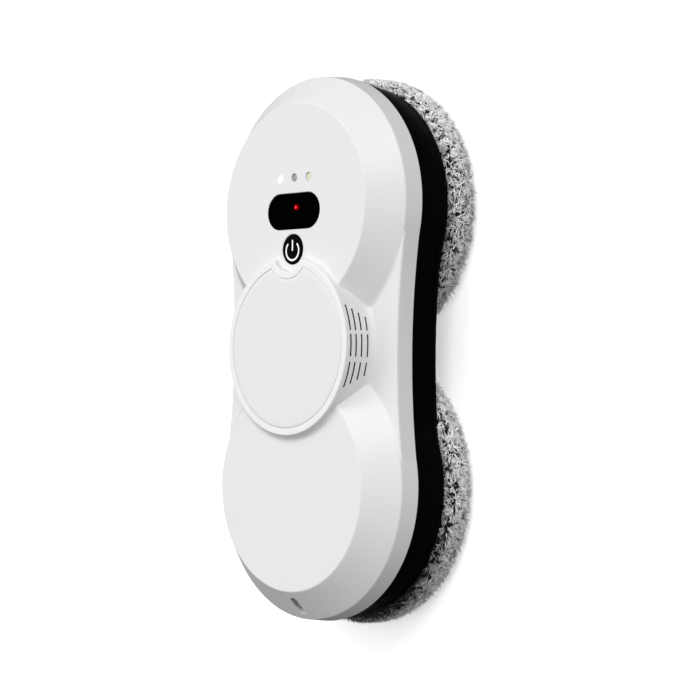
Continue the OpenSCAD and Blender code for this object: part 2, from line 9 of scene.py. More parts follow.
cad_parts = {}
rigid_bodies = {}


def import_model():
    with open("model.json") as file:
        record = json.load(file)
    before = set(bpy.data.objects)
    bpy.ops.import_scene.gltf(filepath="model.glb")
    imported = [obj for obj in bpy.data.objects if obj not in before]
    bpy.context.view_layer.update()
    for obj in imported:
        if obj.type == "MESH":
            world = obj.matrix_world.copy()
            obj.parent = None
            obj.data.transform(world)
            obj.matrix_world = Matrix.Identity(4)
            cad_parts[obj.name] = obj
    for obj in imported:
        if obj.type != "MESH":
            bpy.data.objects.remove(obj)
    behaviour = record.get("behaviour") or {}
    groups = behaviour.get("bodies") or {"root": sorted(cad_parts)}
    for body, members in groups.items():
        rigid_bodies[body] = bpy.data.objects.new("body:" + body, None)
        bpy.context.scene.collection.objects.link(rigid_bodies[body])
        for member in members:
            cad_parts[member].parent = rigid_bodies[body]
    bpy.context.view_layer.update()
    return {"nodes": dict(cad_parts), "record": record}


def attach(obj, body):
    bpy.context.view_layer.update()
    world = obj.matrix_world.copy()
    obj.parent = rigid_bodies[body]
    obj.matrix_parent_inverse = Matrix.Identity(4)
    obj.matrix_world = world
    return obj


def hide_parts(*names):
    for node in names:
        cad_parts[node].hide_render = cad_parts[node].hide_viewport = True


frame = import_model()
CAD = frame["nodes"]
MM = 0.001
HALF = 75.0
WAIST_C = 486.5
FACE_Z, BAND_Z, SPLIT_Z, FLOOR_Z = 66.0, 51.1, 40.1, 21.25
FACE_R, BAND_R, SHELL_R = 56.08, 71.35, 72.5
BUTTON_Y, LIGHT_Y, WINDOW_Y = 52.1, 90.6, 72.6
LED_CORE = (-2.6, 75.2, 61.8)
BOSS_R, BOSS_Z, CAP_R, NOTCH_R = 47.72, 69.94, 43.6, 12.2
CHAMFER_TILT = math.atan2(FACE_Z - BAND_Z, BAND_R - FACE_R)
CHAMFER_MID = (63.5, FACE_Z - (63.5 - FACE_R) * (FACE_Z - BAND_Z) / (BAND_R - FACE_R))


# ---------------------------------------------------------------- camera

cam_data = bpy.data.cameras.new("camera")
cam_data.lens = 120.6534
cam_data.sensor_width = 36.0
cam_data.clip_start, cam_data.clip_end = 0.05, 20.0
camera = bpy.data.objects.new("camera", cam_data)
bpy.context.scene.collection.objects.link(camera)
right = Vector((0.67909945, 0.014682, -0.73389943))
up = Vector((0.01317233, 0.99939522, 0.03218212))
back = Vector((0.73392808, -0.03152203, 0.67849535))
camera.matrix_world = Matrix((
    (right.x, up.x, back.x, 0.94356287),
    (right.y, up.y, back.y, -0.04106513),
    (right.z, up.z, back.z, 0.89541794),
    (0, 0, 0, 1),
))
bpy.context.scene.camera = camera


# ---------------------------------------------------------------- materials

def new_material(name):
    m = bpy.data.materials.new(name)
    m.use_nodes = True
    nt = m.node_tree
    nt.nodes.clear()
    out = nt.nodes.new("ShaderNodeOutputMaterial")
    p = nt.nodes.new("ShaderNodeBsdfPrincipled")
    nt.links.new(p.outputs[0], out.inputs[0])
    return m, nt, p


def noise(nt, coord, scale, detail=3.0, rough=0.5, stretch=None):
    n = nt.nodes.new("ShaderNodeTexNoise")
    n.inputs["Scale"].default_value = scale
    n.inputs["Detail"].default_value = detail
    n.inputs["Roughness"].default_value = rough
    if stretch:
        mp = nt.nodes.new("ShaderNodeMapping")
        mp.inputs["Scale"].default_value = stretch
        nt.links.new(coord, mp.inputs["Vector"])
        nt.links.new(mp.outputs[0], n.inputs["Vector"])
    else:
        nt.links.new(coord, n.inputs["Vector"])
    return n.outputs["Fac"]


def attribute(nt, name):
    n = nt.nodes.new("ShaderNodeAttribute")
    n.attribute_name = name
    return n.outputs["Fac"]


def blend_color(m, fac_name, color):
    """Blends the base colour of a finish towards another where an attribute of the mesh says so."""
    nt = m.node_tree
    p = nt.nodes["Principled BSDF"]
    link = next(l for l in nt.links if l.to_socket == p.inputs["Base Color"])
    src = link.from_socket
    mix = nt.nodes.new("ShaderNodeMix")
    mix.data_type = "RGBA"
    nt.links.new(attribute(nt, fac_name), mix.inputs[0])
    nt.links.new(src, mix.inputs[6])
    mix.inputs[7].default_value = (*color, 1)
    nt.links.new(mix.outputs[2], p.inputs["Base Color"])


def ramp(nt, fac, low, high, a=0.3, b=0.7):
    """low and high are single numbers or colours, reached at a and b."""
    r = nt.nodes.new("ShaderNodeValToRGB")
    r.color_ramp.elements[0].position, r.color_ramp.elements[1].position = a, b
    for e, v in zip(r.color_ramp.elements, (low, high)):
        e.color = (v, v, v, 1) if isinstance(v, (int, float)) else (*v[:3], 1)
    nt.links.new(fac, r.inputs[0])
    return r.outputs[0]


def surface(name, color, rough=0.45, rough_var=0.06, var=0.03, patch=30.0, grain=0.4, bump=0.1, depth=0.03,
            metallic=0.0, spec=0.5, coat=0.0, sheen=0.0, stretch=None, ior=1.5):
    """A solid finish: patchy colour and roughness with a fine grain in its bump. patch, grain and depth are in mm."""
    m, nt, p = new_material(name)
    tc = nt.nodes.new("ShaderNodeTexCoord").outputs["Object"]
    broad = noise(nt, tc, 1000.0 / patch, 4.0, 0.55)
    fine = noise(nt, tc, 1000.0 / grain, 3.0, 0.6, stretch)
    mix = nt.nodes.new("ShaderNodeMix")
    mix.data_type = "FLOAT"
    mix.inputs[0].default_value = 0.45
    nt.links.new(broad, mix.inputs[2])
    nt.links.new(fine, mix.inputs[3])
    low = [max(0.0, c * (1 - var)) for c in color]
    high = [min(1.0, c * (1 + var)) for c in color]
    nt.links.new(ramp(nt, mix.outputs[0], low, high), p.inputs["Base Color"])
    nt.links.new(ramp(nt, broad, max(0.02, rough - rough_var), min(1.0, rough + rough_var)), p.inputs["Roughness"])
    b = nt.nodes.new("ShaderNodeBump")
    b.inputs["Strength"].default_value = bump
    b.inputs["Distance"].default_value = depth * MM
    nt.links.new(fine, b.inputs["Height"])
    nt.links.new(b.outputs[0], p.inputs["Normal"])
    p.inputs["Metallic"].default_value = metallic
    p.inputs["Specular IOR Level"].default_value = spec
    p.inputs["IOR"].default_value = ior
    p.inputs["Coat Weight"].default_value = coat
    p.inputs["Sheen Weight"].default_value = sheen
    return m


M = {
    "cover": surface("cover_white", (0.755, 0.755, 0.765), 0.46, 0.05, 0.008, 45, 0.35, 0.12, 0.02),
    "cap": surface("cap_white", (0.755, 0.755, 0.765), 0.44, 0.05, 0.008, 45, 0.35, 0.12, 0.02),
    "shell": surface("shell_black", (0.0009, 0.0009, 0.001), 0.4, 0.06, 0.15, 30, 0.3, 0.15, 0.03, spec=0.02),
    "plate": surface("plate_black", (0.0016, 0.0016, 0.0018), 0.5, 0.08, 0.15, 20, 0.3, 0.25, 0.04, spec=0.04),
    "button": surface("button_black", (0.0012, 0.0012, 0.0013), 0.25, 0.04, 0.2, 10, 0.3, 0.05, 0.01, spec=0.012),
    "symbol": surface("symbol_white", (0.97, 0.97, 0.97), 0.45, 0.05, 0.02, 4, 0.2, 0.1, 0.01),
    "nozzle": surface("nozzle_grey", (0.3, 0.31, 0.307), 0.4, 0.06, 0.05, 4, 0.25, 0.15, 0.02),
    "plug": surface("plug_rubber", (0.68, 0.68, 0.69), 0.7, 0.08, 0.04, 5, 0.2, 0.3, 0.03, spec=0.3),
    "disc": surface("disc_black", (0.02, 0.02, 0.022), 0.5, 0.1, 0.15, 12, 0.3, 0.3, 0.04),
    "filter": surface("filter_grey", (0.09, 0.09, 0.095), 0.6, 0.08, 0.15, 5, 0.2, 0.3, 0.03),
    "felt": surface("seal_felt", (0.1, 0.1, 0.105), 0.95, 0.04, 0.35, 3, 0.12, 0.9, 0.15, spec=0.1, sheen=0.4),
    "duct": surface("duct_grey", (0.06, 0.06, 0.068), 0.5, 0.08, 0.1, 15, 0.3, 0.25, 0.03),
    "chip": surface("chip_black", (0.025, 0.025, 0.028), 0.55, 0.08, 0.2, 4, 0.15, 0.2, 0.02),
    "board": surface("board_green", (0.02, 0.13, 0.06), 0.35, 0.08, 0.25, 6, 0.25, 0.25, 0.03, coat=0.3),
    "tank": surface("tank_clear", (0.72, 0.8, 0.85), 0.35, 0.06, 0.03, 20, 0.3, 0.1, 0.02),
    "hose": surface("hose_silicone", (0.78, 0.8, 0.81), 0.5, 0.06, 0.03, 8, 0.2, 0.15, 0.02),
    "cell": surface("cell_blue", (0.03, 0.15, 0.42), 0.35, 0.06, 0.1, 15, 0.3, 0.1, 0.02),
    "can": surface("motor_steel", (0.58, 0.59, 0.61), 0.32, 0.1, 0.06, 8, 0.15, 0.2, 0.02, metallic=1.0, stretch=(1, 1, 0.05)),
    "steel": surface("steel", (0.66, 0.66, 0.68), 0.3, 0.1, 0.06, 3, 0.12, 0.25, 0.02, metallic=1.0, stretch=(1, 0.1, 1)),
    "brass": surface("pinion_brass", (0.73, 0.56, 0.28), 0.28, 0.1, 0.08, 3, 0.12, 0.2, 0.02, metallic=1.0, stretch=(1, 1, 0.1)),
    "gear": surface("gear_white", (0.82, 0.82, 0.77), 0.45, 0.06, 0.03, 8, 0.2, 0.15, 0.02),
    "lens_white": surface("lens_white", (0.95, 0.95, 0.98), 0.3, 0.05, 0.01, 2, 0.15, 0.05, 0.01),
    "lens_grey": surface("lens_grey", (0.3, 0.3, 0.31), 0.25, 0.05, 0.1, 2, 0.15, 0.05, 0.01),
    "lens_green": surface("lens_green", (0.66, 0.72, 0.5), 0.28, 0.05, 0.05, 2, 0.15, 0.05, 0.01),
    "led": surface("led_red", (0.75, 0.03, 0.04), 0.3, 0.05, 0.05, 1, 0.15, 0.05, 0.01),
}
M["led"].node_tree.nodes["Principled BSDF"].inputs["Emission Color"].default_value = (1.0, 0.22, 0.26, 1)
M["led"].node_tree.nodes["Principled BSDF"].inputs["Emission Strength"].default_value = 60.0
# Its core is nearly white and its edge deep red
nt = M["led"].node_tree
gap = nt.nodes.new("ShaderNodeVectorMath")
gap.operation = "DISTANCE"
gap.inputs[1].default_value = [c * MM for c in LED_CORE]
nt.links.new(nt.nodes.new("ShaderNodeTexCoord").outputs["Object"], gap.inputs[0])
scaled = nt.nodes.new("ShaderNodeMath")
scaled.operation = "MULTIPLY"
scaled.inputs[1].default_value = 1000.0 / 2.2
nt.links.new(gap.outputs["Value"], scaled.inputs[0])
core = nt.nodes.new("ShaderNodeValToRGB")
core.color_ramp.elements[0].position, core.color_ramp.elements[0].color = 0.08, (1, 0.6, 0.66, 1)
core.color_ramp.elements[1].position, core.color_ramp.elements[1].color = 1.0, (0.004, 0, 0, 1)
for position, color in ((0.26, (1, 0.08, 0.1, 1)), (0.42, (0.28, 0.0, 0.005, 1)), (0.68, (0.035, 0, 0, 1))):
    core.color_ramp.elements.new(position).color = color
nt.links.new(scaled.outputs[0], core.inputs[0])
nt.links.new(core.outputs[0], nt.nodes["Principled BSDF"].inputs["Emission Color"])
M["lens_white"].node_tree.nodes["Principled BSDF"].inputs["Emission Color"].default_value = (0.95, 0.96, 1.0, 1)
M["lens_white"].node_tree.nodes["Principled BSDF"].inputs["Emission Strength"].default_value = 0.6

M["glass"] = surface("window_black", (0.03, 0.004, 0.005), 0.05, 0.02, 0.02, 10, 0.4, 0.02, 0.01, spec=0.02, ior=1.03)
M["glass"].node_tree.nodes["Principled BSDF"].inputs["Transmission Weight"].default_value = 1.0
# Painted highlight: the top of the boss's rim is made lighter
blend_color(M["cover"], "rim_painted_highlight", (0.81, 0.81, 0.82))
# Painted shade: the inside of the vents and the walls of the nozzle slot go near black
blend_color(M["cover"], "recess_painted_shade", (0.004, 0.004, 0.004))

BY_SLOT = {
    "cover_white": "cover", "cap_white": "cap", "shell_black": "shell", "window_black": "glass", "led_red": "led",
    "lens_white": "lens_white", "lens_grey": "lens_grey", "lens_green": "lens_green", "symbol_white": "symbol",
    "button_black": "button", "board_green": "board", "chip_black": "chip", "nozzle_grey": "nozzle",
    "tank_clear": "tank", "plug_rubber": "plug", "hose_silicone": "hose", "cell_blue": "cell", "duct_grey": "duct",
    "motor_steel": "can", "steel": "steel", "pinion_brass": "brass", "gear_white": "gear", "disc_black": "disc",
    "seal_felt": "felt", "filter_grey": "filter", "pad_plush": "felt",
}
for part in frame["record"]["subparts"]:
    o = CAD[part["node"]]
    o.data.materials.clear()
    o.data.materials.append(M["plate" if part["node"] == "base_plate" else BY_SLOT[part["material_slot"]]])


# ---------------------------------------------------------------- mesh helpers

def add_object(name, mesh, material, body):
    o = bpy.data.objects.new(name, mesh)
    bpy.context.scene.collection.objects.link(o)
    mesh.materials.clear()
    mesh.materials.append(material)
    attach(o, body)
    return o


def mesh_from(name, verts, faces):
    """verts in mm."""
    me = bpy.data.meshes.new(name)
    me.from_pydata((np.asarray(verts, float) * MM).tolist(), [], [list(f) for f in faces])
    me.update()
    return me


def fix_normals(me):
    bm = bmesh.new()
    bm.from_mesh(me)
    bmesh.ops.recalc_face_normals(bm, faces=bm.faces)
    bm.to_mesh(me)
    bm.free()


def smooth_by_angle(me, degrees=30.0):
    me.polygons.foreach_set("use_smooth", [True] * len(me.polygons))
    me.set_sharp_from_angle(angle=math.radians(degrees))


def grid_faces(rows, n, closed=True, start=0):
    """Quads between successive rows of n points."""
    out = []
    last = n if closed else n - 1
    for j in range(rows - 1):
        a = start + j * n
        for i in range(last):
            k = (i + 1) % n
            out.append((a + i, a + k, a + n + k, a + n + i))
    return out


def revolve(profile, n=96, centre=(0, 0), close=True):
    """Solid of revolution about a vertical axis, from a closed (r, z) profile in mm."""
    verts, faces = [], []
    ids = []
    for r, z in profile:
        if r < 1e-6:
            ids.append([len(verts)] * n)
            verts.append((centre[0], centre[1], z))
        else:
            ids.append(list(range(len(verts), len(verts) + n)))
            for i in range(n):
                a = 2 * math.pi * i / n
                verts.append((centre[0] + r * math.cos(a), centre[1] + r * math.sin(a), z))
    pairs = list(zip(ids, ids[1:] + ids[:1])) if close else list(zip(ids, ids[1:]))
    for a, b in pairs:
        for i in range(n):
            k = (i + 1) % n
            f = [a[i], a[k], b[k], b[i]]
            f = [v for j, v in enumerate(f) if v != f[j - 1]]
            if len(set(f)) > 2:
                faces.append(f)
    return verts, faces


def arc(cx, cz, r, a0, a1, n):
    """Points of an arc in a profile, angles in degrees."""
    return [(cx + r * math.cos(math.radians(a0 + (a1 - a0) * i / n)), cz + r * math.sin(math.radians(a0 + (a1 - a0) * i / n)))
            for i in range(n + 1)]


def stadium(l, r, n=24):
    """Outline of a stadium, length 2 (l + r) along x."""
    pts = [(l + r * math.cos(a), r * math.sin(a)) for a in np.linspace(-math.pi / 2, math.pi / 2, n + 1)]
    pts += [(-l + r * math.cos(a), r * math.sin(a)) for a in np.linspace(math.pi / 2, 3 * math.pi / 2, n + 1)]
    return pts


def prism(levels, cap=True):
    """Closed solid through outlines with the same number of points: [(outline, z), ...]."""
    verts, faces = [], []
    n = len(levels[0][0])
    for pts, z in levels:
        verts += [(x, y, z) for x, y in pts]
    faces += grid_faces(len(levels), n)
    if cap:
        faces.append(tuple(reversed(range(n))))
        faces.append(tuple(range((len(levels) - 1) * n, len(levels) * n)))
    return verts, faces


def placed(shape, matrix):
    verts, faces = shape
    return [tuple(matrix @ Vector(v)) for v in verts], faces


def joined(shapes):
    verts, faces = [], []
    for v, f in shapes:
        k = len(verts)
        verts += list(v)
        faces += [tuple(i + k for i in face) for face in f]
    return verts, faces


CHAMFER_END = Matrix.Translation((0, -HALF - CHAMFER_MID[0], CHAMFER_MID[1])) @ Matrix.Rotation(CHAMFER_TILT, 4, "X")
CHAMFER_SIDE = Matrix.Translation((-CHAMFER_MID[0], -HALF, CHAMFER_MID[1])) @ Matrix.Rotation(-CHAMFER_TILT, 4, "Y")


def boolean(me, cutter_shape, operation="DIFFERENCE"):
    """The mesh after an exact boolean with a closed shape in mm."""
    cut = mesh_from("cutter", *cutter_shape)
    fix_normals(cut)
    a = bpy.data.objects.new("tmp_a", me)
    b = bpy.data.objects.new("tmp_b", cut)
    for o in (a, b):
        bpy.context.scene.collection.objects.link(o)
    mod = a.modifiers.new("cut", "BOOLEAN")
    mod.operation, mod.solver, mod.object = operation, "EXACT", b
    bpy.context.view_layer.update()
    dg = bpy.context.evaluated_depsgraph_get()
    out = bpy.data.meshes.new_from_object(a.evaluated_get(dg))
    bpy.data.objects.remove(a)
    bpy.data.objects.remove(b)
    bpy.data.meshes.remove(cut)
    return out


# ---------------------------------------------------------------- smooth body of the cover and the lower shell

def smin(a, b, k):
    h = np.clip(0.5 + 0.5 * (b - a) / k, 0, 1)
    return b * (1 - h) + a * h - k * h * (1 - h)


def smax(a, b, k):
    return -smin(-a, -b, k)


def cone(r, z, r0, z0, r1, z1):
    """Distance outside the line from (r0, z0) up to (r1, z1)."""
    dr, dz = r1 - r0, z1 - z0
    return ((r - r0) * dz - (z - z0) * dr) / math.hypot(dr, dz)


def step(a, b, t):
    u = np.clip((t - a) / (b - a), 0, 1)
    return u * u * (3 - 2 * u)


def cover_field(p, top=True, sunk=False):
    """Below 0 inside the cover's outer surface, about in mm."""
    x, y, z = np.abs(p[..., 0]), np.abs(p[..., 1]), p[..., 2]
    r = np.hypot(x, y - HALF)
    dome = smax(cone(r, z, SHELL_R, SPLIT_Z, BAND_R, BAND_Z), cone(r, z, BAND_R, BAND_Z, FACE_R, FACE_Z), 0.4)
    q = WAIST_C - np.hypot(WAIST_C - x, y)
    waist = smax(cone(q, z, 66.5, SPLIT_Z, 65.9, BAND_Z), z - BAND_Z, 1.5)
    waist = np.maximum(waist, y - 60)
    boss = cone(np.hypot(x, y), z, BOSS_R + 1.16, 45.1, BOSS_R, BOSS_Z)
    if sunk:
        # Steps back behind the wall of the upper boss, which is a mesh of its own
        boss = boss + 0.35 * step(61.9, 64.0, z)
    f = smin(dome, smin(waist, boss, 4.0), 1.0 * (1 - step(40, 56, y)) + 1e-6)
    return smax(f, z - FACE_Z, 0.45) if top else f


def rise(x, y):
    """How far the foot of the boss flares out: not at all at the waist, fully on the dome faces."""
    return step(43.0, 54.0, np.degrees(np.arctan2(np.abs(y), np.abs(x))))


def boss_side(x, y, z, inset=0.0, soft=1.2):
    """Distance outside the boss's outline, a circle with a notch round the button, moved inwards by inset."""
    lean = (BOSS_Z - z) * 1.16 / 24.84
    return smax(np.hypot(x, y) - (BOSS_R - inset + lean), (NOTCH_R + inset) - np.hypot(x, y - BUTTON_Y), soft)


def boss_field(p):
    x, y, z = p[..., 0], p[..., 1], p[..., 2]
    w = rise(x, y)
    f = smax(boss_side(x, y, z), z - BOSS_Z, 0.7)
    return smin(f, z - FACE_Z + 500 * (w <= 0.02), 3.2 * w + 1e-6)


def shell_field(p):
    x, y, z = np.abs(p[..., 0]), np.abs(p[..., 1]), p[..., 2]
    r = np.hypot(x, y - HALF)
    q = WAIST_C - np.hypot(WAIST_C - x, y)
    waist = np.maximum(cone(q, z, 61.6, FLOOR_Z, 65.9, SPLIT_Z), y - 60)
    f = smin(cone(r, z, 69.46, FLOOR_Z, 72.1, SPLIT_Z), waist, 0.8)
    return smax(f, FLOOR_Z - z, 1.0)


def rays(n_waist, n_dome):
    """Rays that fan out over the outline: a start on the centre line and a direction for each, counter-clockwise."""
    start, way = [], []
    tip = math.degrees(math.atan2(-HALF, WAIST_C))
    edge = HALF * 420.0 / math.hypot(HALF, WAIST_C)

    def waist(side, flip):
        for s in np.linspace(-1, 1, n_waist, endpoint=False):
            s = s * flip
            py = edge * s
            d = Vector((side * (WAIST_C - math.sqrt(420.0**2 - py * py)), py - HALF * s)).normalized()
            start.append((0, HALF * s))
            way.append((d.x, d.y))

    def dome(sign, a0, a1):
        for a in np.linspace(math.radians(a0), math.radians(a1), n_dome, endpoint=False):
            start.append((0, sign * HALF))
            way.append((math.cos(a), math.sin(a)))

    waist(1, 1)
    dome(1, tip, 180 - tip)
    waist(-1, -1)
    dome(-1, 180 + tip, 360 - tip)
    return np.array(start, float), np.array(way, float)


def solve(fun, lo, hi, n=44):
    """Root of fun(t) between lo and hi, where fun grows from below 0 to above it."""
    lo, hi = lo.copy(), hi.copy()
    for _ in range(n):
        mid = (lo + hi) / 2
        inside = fun(mid) < 0
        lo = np.where(inside, mid, lo)
        hi = np.where(inside, hi, mid)
    return (lo + hi) / 2


def points(start, way, z0, phi, t):
    c = np.cos(phi) * t
    return np.stack([start[:, None, 0] + way[:, None, 0] * c, start[:, None, 1] + way[:, None, 1] * c, z0 + np.sin(phi) * t], -1)


def skin(field, start, way, z0, phi_lo, phi_hi, rows, fine=300, per_mm=3.0, per_deg=7.0, reach=140.0):
    """Points on field = 0 in rows from phi_lo to phi_hi, closer where the surface turns."""
    u = np.linspace(0, 1, fine)[None]
    phi = phi_lo[:, None] * (1 - u) + phi_hi[:, None] * u
    t = solve(lambda t: field(points(start, way, z0, phi, t)), np.full(phi.shape, 0.5), np.full(phi.shape, reach))
    rho, z = np.cos(phi) * t, np.sin(phi) * t
    dr, dz = np.diff(rho, axis=1), np.diff(z, axis=1)
    turn = np.abs(np.diff(np.unwrap(np.arctan2(dz, dr), axis=1), axis=1))
    turn = np.degrees(np.concatenate([turn[:, :1], turn], axis=1))
    cost = np.hypot(dr, dz) / per_mm + turn / per_deg + 1e-4
    # Even out the cost between neighbouring rays, so that the rows don't jump
    for _ in range(6):
        cost = (np.roll(cost, 1, 0) + 2 * cost + np.roll(cost, -1, 0)) / 4
    total = np.concatenate([np.zeros((len(cost), 1)), np.cumsum(cost, 1)], 1)
    total /= total[:, -1:]
    want = np.linspace(0, 1, rows)
    new = np.stack([np.interp(want, total[i], phi[i]) for i in range(len(phi))])
    t = solve(lambda t: field(points(start, way, z0, new, t)), np.full(new.shape, 0.5), np.full(new.shape, reach))
    return points(start, way, z0, new, t)


def gradient(field, p, h=0.02):
    g = np.stack([field(p + np.array(d) * h) - field(p - np.array(d) * h) for d in ((1, 0, 0), (0, 1, 0), (0, 0, 1))], -1)
    return g / np.maximum(np.linalg.norm(g, axis=-1, keepdims=True), 1e-9)


def set_field_normals(me, fields, tolerance=0.03):
    """Smooth normals from the fields on the faces that lie on them, and flat ones elsewhere. fields: (field, sign)."""
    nv, nf, nl = len(me.vertices), len(me.polygons), len(me.loops)
    co = np.zeros(nv * 3, np.float32)
    me.vertices.foreach_get("co", co)
    co = co.reshape(-1, 3).astype(float) / MM
    vi = np.zeros(nl, np.int32)
    me.loops.foreach_get("vertex_index", vi)
    total = np.zeros(nf, np.int32)
    me.polygons.foreach_get("loop_total", total)
    fn = np.zeros(nf * 3, np.float32)
    me.polygons.foreach_get("normal", fn)
    fn = fn.reshape(-1, 3)
    face = np.repeat(np.arange(nf), total)
    out = fn[face].astype(float)
    found = np.zeros(nl, bool)
    for field, sign in fields:
        on = np.abs(field(co)) < tolerance
        count = np.bincount(face, weights=on[vi], minlength=nf)
        whole = (count == total)[face]
        g = gradient(field, co) * sign
        agree = (g[vi] * out).sum(1) > 0.5
        out = np.where((whole & agree)[:, None], g[vi], out)
        found |= whole & agree
    me.polygons.foreach_set("use_smooth", [True] * nf)
    me.normals_split_custom_set(out.tolist())
    return ~found


# ---------------------------------------------------------------- top cover

def vent_cutters():
    shapes = []
    for side in (0, 180):
        for i in range(4):
            z = FACE_Z + 0.7 - 3.4 * i - 0.14 * i * i
            upper, lower = (9.4, 26.4 - 2.7 * i), (10.4, 27.4 - 2.75 * i)
            near, far = (upper, lower) if side == 0 else (lower, upper)
            for a0, a1, wide in ((-7.2, 7.2, 0.5), (*near, 0.62), (-far[1], -far[0], 0.5)):
                # A slot with round ends, swept round the boss
                n = 14
                e = math.degrees(0.5 / 48.0)
                stations = [(a0, 0.14), (a0 + e * 0.3, 0.36), (a0 + e, 0.5), (a0 + e * 1.8, 0.46)]
                stations += [(a0 + e * 2 + (a1 - a0 - 4 * e) * j / n, 0.45) for j in range(1, n)]
                stations += [(a1 - e * 1.8, 0.46), (a1 - e, wide), (a1 - e * 0.3, wide * 0.72), (a1, 0.14)]
                verts, faces = [], []
                for a, h in stations:
                    c, s = math.cos(math.radians(a + side)), math.sin(math.radians(a + side))
                    for r, dz in ((41.0, -h), (53.0, -h), (53.0, h), (41.0, h)):
                        verts.append((r * c, r * s, z + dz))
                k = len(stations)
                faces += grid_faces(k, 4)
                faces.append((3, 2, 1, 0))
                faces.append(tuple(range(4 * k - 4, 4 * k)))
                shapes.append((verts, faces))
    return shapes


def boss_outline(inset, z, n, soft=1.2):
    """Points on the boss's outline and their outward normals, closer where it turns."""
    a = np.linspace(-math.pi / 2, 3 * math.pi / 2, 24001)

    def f(t):
        return boss_side(t * np.cos(a), t * np.sin(a), np.full(a.shape, z), inset, soft)
    t = solve(f, np.full(a.shape, 5.0), np.full(a.shape, 60.0), 40)
    x, y = t * np.cos(a), t * np.sin(a)
    ang = np.unwrap(np.arctan2(np.diff(y), np.diff(x)))
    turn = np.concatenate([[0], np.abs(np.diff(ang))])
    s = np.concatenate([[0], np.cumsum(np.hypot(np.diff(x), np.diff(y)) + turn * 1.5)])
    want = np.linspace(0, s[-1], n + 1)[:-1]
    p = np.stack([np.interp(want, s, x), np.interp(want, s, y)], -1)
    nx = boss_side(p[:, 0] + 0.05, p[:, 1], z, inset, soft) - boss_side(p[:, 0] - 0.05, p[:, 1], z, inset, soft)
    ny = boss_side(p[:, 0], p[:, 1] + 0.05, z, inset, soft) - boss_side(p[:, 0], p[:, 1] - 0.05, z, inset, soft)
    d = np.stack([nx, ny], -1)
    return p, d / np.linalg.norm(d, axis=1, keepdims=True)


def boss_mesh():
    """The boss above the dome faces, with a foot that flares on to them."""
    n, z0, rows = 620, 65.0, 26
    start, way = boss_outline(1.5, z0, n)
    edge = start + way * 1.5
    w = rise(edge[:, 0], edge[:, 1])
    alpha = np.degrees(np.arctan2(np.abs(edge[:, 1]), np.abs(edge[:, 0])))
    # Where the lowest row lies: on the wall at the waist, under the chamfer and the face beside it, on the flare beyond
    far = np.hypot(edge[:, 0], HALF - np.abs(edge[:, 1]))
    chamfer = FACE_Z - (far - FACE_R) * (FACE_Z - BAND_Z) / (BAND_R - FACE_R)
    low_z = np.where(w > 0.02, FACE_Z + 0.02, np.clip(np.minimum(chamfer, FACE_Z) - 1.0, 61.95, 65.0))
    low_d = np.where(w > 0.02, 0.84 * 3.2 * w, 0.0)
    lo = np.arctan2(low_z - z0, low_d + 1.5)
    outer = skin(boss_field, start, way, z0, lo, np.full(n, math.pi / 2), rows, fine=260, per_mm=2.5, per_deg=8.0, reach=9.0)
    bottom = np.column_stack([start, np.full(n, 64.2)])
    seq = [bottom] + [outer[:, j] for j in range(rows)]
    faces = grid_faces(len(seq), n)
    faces.append(tuple(reversed(range(n))))
    k = (len(seq) - 1) * n
    faces.append(tuple(range(k, k + n)))
    return np.concatenate(seq), faces


def cap_recess():
    """Cutter for the recess that the cap lies in, with a fine bevel at its edge."""
    rows = []
    for inset, z in ((3.77, BOSS_Z - 1.2), (3.77, BOSS_Z - 0.12), (3.65, BOSS_Z), (3.15, BOSS_Z + 0.5)):
        p, _ = boss_outline(inset, BOSS_Z, 620, 0.3)
        rows.append(np.column_stack([p, np.full(len(p), z)]))
    n = len(rows[0])
    faces = grid_faces(len(rows), n)
    faces.append(tuple(reversed(range(n))))
    faces.append(tuple(range((len(rows) - 1) * n, len(rows) * n)))
    return np.concatenate(rows).tolist(), faces


def boss_cavity():
    """Cutter for the hollow inside the boss, which stays clear of the notch."""
    me = mesh_from("cavity", *revolve([(0, 55), (45.4, 55), (45.4, 67.3), (0, 67.3)], 128))
    fix_normals(me)
    out = boolean(me, revolve([(0, 63.6), (14.8, 63.6), (14.8, 68), (0, 68)], 64, (0, BUTTON_Y)))
    verts = [tuple(v.co / MM) for v in out.vertices]
    faces = [tuple(f.vertices) for f in out.polygons]
    return verts, faces


